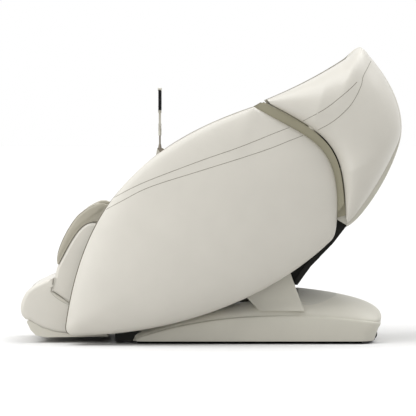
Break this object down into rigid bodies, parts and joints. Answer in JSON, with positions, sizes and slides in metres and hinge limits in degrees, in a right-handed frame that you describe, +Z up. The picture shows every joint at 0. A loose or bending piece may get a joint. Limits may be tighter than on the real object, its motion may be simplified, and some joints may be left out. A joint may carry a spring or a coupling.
{
  "type": "massage chair",
  "caption": "Full body massage chair with tilting shell seat, reclining back with roller carriage, lifting leg rest with sliding foot unit, and a tablet on a post.",
  "frame": {"origin": "on the floor, under the middle of the chair's bounding box", "axes": "+Z up, the sitter faces -Y, +X is the sitter's left"},
  "size_m": [0.83, 1.6154, 1.2553],
  "materials": {
    "shell_white": "satin moulded shell, warm white",
    "base_beige": "matte moulded cover, warm light grey",
    "liner_olive": "matte lining, olive grey",
    "upholstery": "soft synthetic leather over foam, taupe",
    "frame_black": "black powder coat",
    "plain_steel": "bright zinc plated steel",
    "black_plastic": "black moulded plastic",
    "cream_plastic": "cream moulded plastic",
    "black_rubber": "black rubber",
    "screen_black": "glossy black screen",
    "grey_metal": "cast grey housing",
    "switch_red": "dark red rocker"
  },
  "bodies": {
    "base": {"base_frame": "frame_black", "base_cover": "base_beige", "pivot_covers": "base_beige", "floor_skids": "black_rubber", "wheel_axle": "plain_steel", "power_inlet": "black_plastic", "tilt_shaft": "plain_steel", "power_supply": "grey_metal", "air_pump": "black_plastic", "tilt_actuator": "grey_metal"},
    "wheel_left": {"wheel_left": "black_rubber"},
    "wheel_right": {"wheel_right": "black_rubber"},
    "switch": {"power_switch": "switch_red"},
    "tilt_rod": {"tilt_rod": "plain_steel"},
    "seat": {"seat_frame": "frame_black", "seat_pan": "plain_steel", "seat_cushion": "upholstery", "side_shell_left": "shell_white", "side_shell_right": "shell_white", "side_liner_left": "liner_olive", "side_liner_right": "liner_olive", "arm_panel_left": "shell_white", "arm_panel_right": "shell_white", "arm_cushion_left": "upholstery", "arm_cushion_right": "upholstery", "lower_cover": "black_plastic", "front_cover": "black_plastic", "recline_actuator": "grey_metal", "legrest_actuator": "grey_metal", "tablet_post": "cream_plastic"},
    "recline_rod": {"recline_rod": "plain_steel"},
    "legrest_rod": {"legrest_rod": "plain_steel"},
    "tablet_bracket": {"tablet_bracket": "cream_plastic"},
    "tablet": {"tablet": "screen_black"},
    "back": {"back_frame": "frame_black", "shoulder_shell_left": "shell_white", "shoulder_shell_right": "shell_white", "rear_cover": "base_beige", "back_liner_left": "liner_olive", "back_liner_right": "liner_olive", "back_cushion": "upholstery", "shoulder_pad_left": "upholstery", "shoulder_pad_right": "upholstery", "head_pillow": "upholstery", "speaker_grilles": "black_plastic", "lead_screw": "plain_steel"},
    "carriage": {"carriage": "grey_metal"},
    "massage_arm_left": {"massage_arm_left": "plain_steel"},
    "massage_arm_right": {"massage_arm_right": "plain_steel"},
    "roller_upper_left": {"roller_upper_left": "cream_plastic"},
    "roller_lower_left": {"roller_lower_left": "cream_plastic"},
    "roller_upper_right": {"roller_upper_right": "cream_plastic"},
    "roller_lower_right": {"roller_lower_right": "cream_plastic"},
    "legrest": {"legrest_frame": "frame_black", "calf_shell": "shell_white", "calf_pad": "upholstery"},
    "foot": {"foot_shell": "shell_white", "foot_pad": "upholstery", "sole_cover": "base_beige"},
    "foot_roller": {"foot_roller": "black_rubber"}
  },
  "joints": [
    {"name": "seat_tilt", "type": "hinge", "parent": "base", "child": "seat", "pos_m": [0, 0.269, 0.262], "axis": [-1, 0, 0], "range_deg": [0, 10]},
    {"name": "back_recline", "type": "hinge", "parent": "seat", "child": "back", "pos_m": [0, 0.2, 0.43], "axis": [-1, 0, 0], "range_deg": [0, 35]},
    {"name": "legrest_lift", "type": "hinge", "parent": "seat", "child": "legrest", "pos_m": [0, -0.425, 0.5], "axis": [-1, 0, 0], "range_deg": [0, 55]},
    {"name": "foot_extend", "type": "slide", "parent": "legrest", "child": "foot", "axis": [0, -0.5878, -0.809], "range_m": [0, 0.12]},
    {"name": "tilt_rod_travel", "type": "slide", "parent": "base", "child": "tilt_rod", "axis": [0, 1, 0], "range_m": [-0.0215, 0]},
    {"name": "recline_rod_travel", "type": "slide", "parent": "seat", "child": "recline_rod", "axis": [0, 1, 0], "range_m": [-0.055, 0]},
    {"name": "legrest_rod_travel", "type": "slide", "parent": "seat", "child": "legrest_rod", "axis": [0, -0.9336, 0.3584], "range_m": [0, 0.071]},
    {"name": "carriage_travel", "type": "slide", "parent": "back", "child": "carriage", "axis": [0, 0.5299, 0.848], "range_m": [0, 0.58]},
    {"name": "arm_rock_left", "type": "hinge", "parent": "carriage", "child": "massage_arm_left", "pos_m": [0.074, 0.33927, 0.54343], "axis": [-1, 0, 0], "range_deg": [-10, 10]},
    {"name": "arm_rock_right", "type": "hinge", "parent": "carriage", "child": "massage_arm_right", "pos_m": [-0.074, 0.33927, 0.54343], "axis": [-1, 0, 0], "range_deg": [-10, 10]},
    {"name": "roller_upper_left_spin", "type": "hinge", "parent": "massage_arm_left", "child": "roller_upper_left", "pos_m": [0.095, 0.33789, 0.60915], "axis": [1, 0, 0], "continuous": true},
    {"name": "roller_lower_left_spin", "type": "hinge", "parent": "massage_arm_left", "child": "roller_lower_left", "pos_m": [0.095, 0.2796, 0.51587], "axis": [1, 0, 0], "continuous": true},
    {"name": "roller_upper_right_spin", "type": "hinge", "parent": "massage_arm_right", "child": "roller_upper_right", "pos_m": [-0.095, 0.33789, 0.60915], "axis": [1, 0, 0], "continuous": true},
    {"name": "roller_lower_right_spin", "type": "hinge", "parent": "massage_arm_right", "child": "roller_lower_right", "pos_m": [-0.095, 0.2796, 0.51587], "axis": [1, 0, 0], "continuous": true},
    {"name": "foot_roller_spin", "type": "hinge", "parent": "foot", "child": "foot_roller", "pos_m": [0, -0.72228, 0.10784], "axis": [1, 0, 0], "continuous": true},
    {"name": "tablet_swivel", "type": "hinge", "parent": "seat", "child": "tablet_bracket", "pos_m": [-0.296, -0.225, 0.886], "axis": [0, 0, 1], "range_deg": [-90, 90]},
    {"name": "tablet_tilt", "type": "hinge", "parent": "tablet_bracket", "child": "tablet", "pos_m": [-0.296, -0.225, 0.924], "axis": [1, 0, 0], "range_deg": [-30, 30]},
    {"name": "wheel_left_spin", "type": "hinge", "parent": "base", "child": "wheel_left", "pos_m": [0.188, 0.68, 0.038], "axis": [1, 0, 0], "continuous": true},
    {"name": "wheel_right_spin", "type": "hinge", "parent": "base", "child": "wheel_right", "pos_m": [-0.188, 0.68, 0.038], "axis": [1, 0, 0], "continuous": true},
    {"name": "switch_rock", "type": "hinge", "parent": "base", "child": "switch", "pos_m": [0.022, 0.662, 0.04], "axis": [1, 0, 0], "range_deg": [-8, 8]}
  ],
  "couplings": [
    {"joint": "foot_extend", "follows": "legrest_lift", "m_per_rad": 0.12501},
    {"joint": "tilt_rod_travel", "follows": "seat_tilt", "m_per_rad": -0.1195},
    {"joint": "recline_rod_travel", "follows": "back_recline", "m_per_rad": -0.0886},
    {"joint": "legrest_rod_travel", "follows": "legrest_lift", "m_per_rad": 0.0722},
    {"joint": "arm_rock_right", "follows": "arm_rock_left", "ratio": -1}
  ]
}
